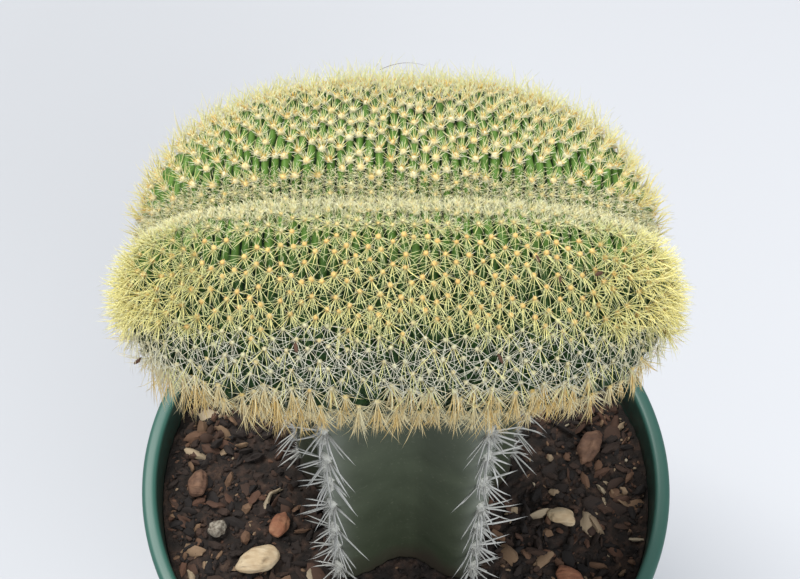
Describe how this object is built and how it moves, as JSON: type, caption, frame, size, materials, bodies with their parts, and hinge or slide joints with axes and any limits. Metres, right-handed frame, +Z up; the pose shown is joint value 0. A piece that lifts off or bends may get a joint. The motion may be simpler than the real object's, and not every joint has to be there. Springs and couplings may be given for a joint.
{
  "type": "potted crested cactus",
  "caption": "Crested golden-spined cactus grafted on a ribbed green rootstock, in a round green nursery pot of potting mix.",
  "frame": {"origin": "middle of the pot's foot, on the surface that the pot stands on", "axes": "+Z up; the growing line of the crest runs along X; -Y is the front, where the lower and wider lobe of the crest is"},
  "size_m": [0.1, 0.1, 0.1809],
  "materials": {
    "green_plastic": "satin",
    "potting_mix": "matte",
    "stock_skin": "satin",
    "crest_flesh": "satin",
    "white_wool": "matte",
    "yellow_spines": "matte",
    "cream_spines": "matte",
    "tan_spines": "matte",
    "grey_spines": "matte",
    "pale_wood": "matte",
    "red_bark": "matte",
    "brown_bark": "matte",
    "pumice": "matte"
  },
  "bodies": {
    "root": {"pot": "green_plastic", "soil": "potting_mix", "rootstock": "stock_skin", "crest": "crest_flesh", "growing_line_wool": "white_wool", "front_spines": "yellow_spines", "back_spines": "cream_spines", "front_skirt_spines": "tan_spines", "back_skirt_spines": "tan_spines", "stock_spines_1": "grey_spines", "stock_spines_2": "grey_spines", "stock_spines_3": "grey_spines", "stock_spines_4": "grey_spines", "stock_spines_5": "grey_spines", "wood_chip_1": "pale_wood", "wood_chip_2": "pale_wood", "wood_chip_3": "pale_wood", "bark_chip_1": "red_bark", "bark_chip_2": "brown_bark", "bark_chip_3": "brown_bark", "bark_chip_4": "red_bark", "bark_chip_5": "brown_bark", "bark_chip_6": "brown_bark", "bark_chip_7": "red_bark", "pumice_1": "pumice", "pumice_2": "pumice", "pumice_3": "pumice", "pumice_4": "pumice"}
  },
  "joints": []
}
